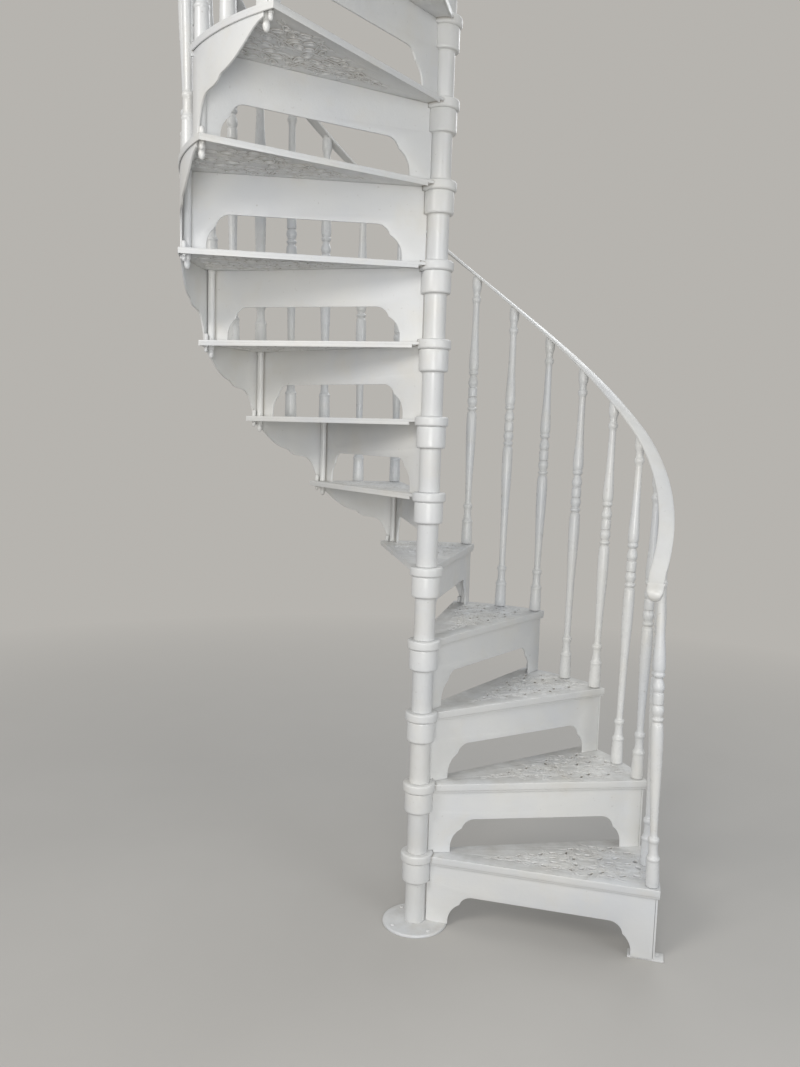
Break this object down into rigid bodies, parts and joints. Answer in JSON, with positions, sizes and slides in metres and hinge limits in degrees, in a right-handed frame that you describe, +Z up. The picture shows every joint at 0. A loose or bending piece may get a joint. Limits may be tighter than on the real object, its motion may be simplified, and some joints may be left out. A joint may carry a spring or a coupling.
{
  "type": "spiral staircase",
  "caption": "Painted cast-iron spiral staircase with pierced scroll-work treads, cusped risers and wings, turned balusters, a helical handrail and a square top landing.",
  "frame": {"origin": "underside of the base plate, on the centre pole's axis, at floor level", "axes": "+Z up along the pole; +X out along the lowest riser; the stair climbs anticlockwise seen from above; the landing lies between +X and -Y"},
  "size_m": [1.429, 1.419, 3.749],
  "materials": {
    "white_iron": "gloss white paint on cast iron"
  },
  "bodies": {
    "root": {"base_plate": "white_iron", "centre_pole": "white_iron", "hub_sleeves": "white_iron", "newel_sleeve": "white_iron", "newel_finial": "white_iron", "tread_01": "white_iron", "tread_02": "white_iron", "tread_03": "white_iron", "tread_04": "white_iron", "tread_05": "white_iron", "tread_06": "white_iron", "tread_07": "white_iron", "tread_08": "white_iron", "tread_09": "white_iron", "tread_10": "white_iron", "tread_11": "white_iron", "tread_12": "white_iron", "landing": "white_iron", "landing_angles": "white_iron", "riser_01": "white_iron", "riser_02": "white_iron", "riser_03": "white_iron", "riser_04": "white_iron", "riser_05": "white_iron", "riser_06": "white_iron", "riser_07": "white_iron", "riser_08": "white_iron", "riser_09": "white_iron", "riser_10": "white_iron", "riser_11": "white_iron", "riser_12": "white_iron", "riser_13": "white_iron", "outer_wings": "white_iron", "corner_nuts": "white_iron", "front_balusters": "white_iron", "middle_balusters": "white_iron", "handrail": "white_iron", "landing_balusters": "white_iron", "landing_rail": "white_iron"}
  },
  "joints": []
}
